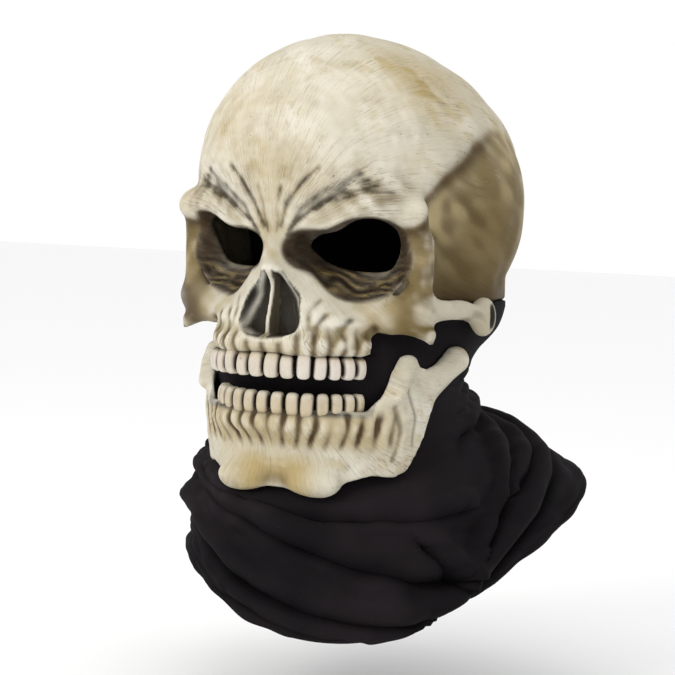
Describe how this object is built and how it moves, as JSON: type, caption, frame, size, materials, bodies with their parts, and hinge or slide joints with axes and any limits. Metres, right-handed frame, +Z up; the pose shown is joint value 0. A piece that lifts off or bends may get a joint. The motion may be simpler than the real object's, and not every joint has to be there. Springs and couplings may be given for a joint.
{
  "type": "skull mask with fabric hood",
  "caption": "Pull-on skull mask: hollow skull and separate lower jaw with rows of teeth, open eye holes, on a black fabric hood that ends in a draped cowl.",
  "frame": {"origin": "the inside of the crown, where the wearer's head carries the mask", "axes": "+Z up, -Y the way the face looks, +X towards the wearer's left ear"},
  "size_m": [0.2212, 0.2079, 0.3057],
  "materials": {
    "bone_latex": "painted latex in aged ivory with dark hollows",
    "jaw_latex": "painted latex in aged ivory with dark hollows",
    "upper_enamel": "painted latex, satin",
    "lower_enamel": "painted latex, satin",
    "black_jersey": "matt stretch jersey"
  },
  "bodies": {
    "root": {"skull_shell": "bone_latex", "jaw_shell": "jaw_latex", "upper_teeth": "upper_enamel", "lower_teeth": "lower_enamel", "neck_hood": "black_jersey"}
  },
  "joints": []
}
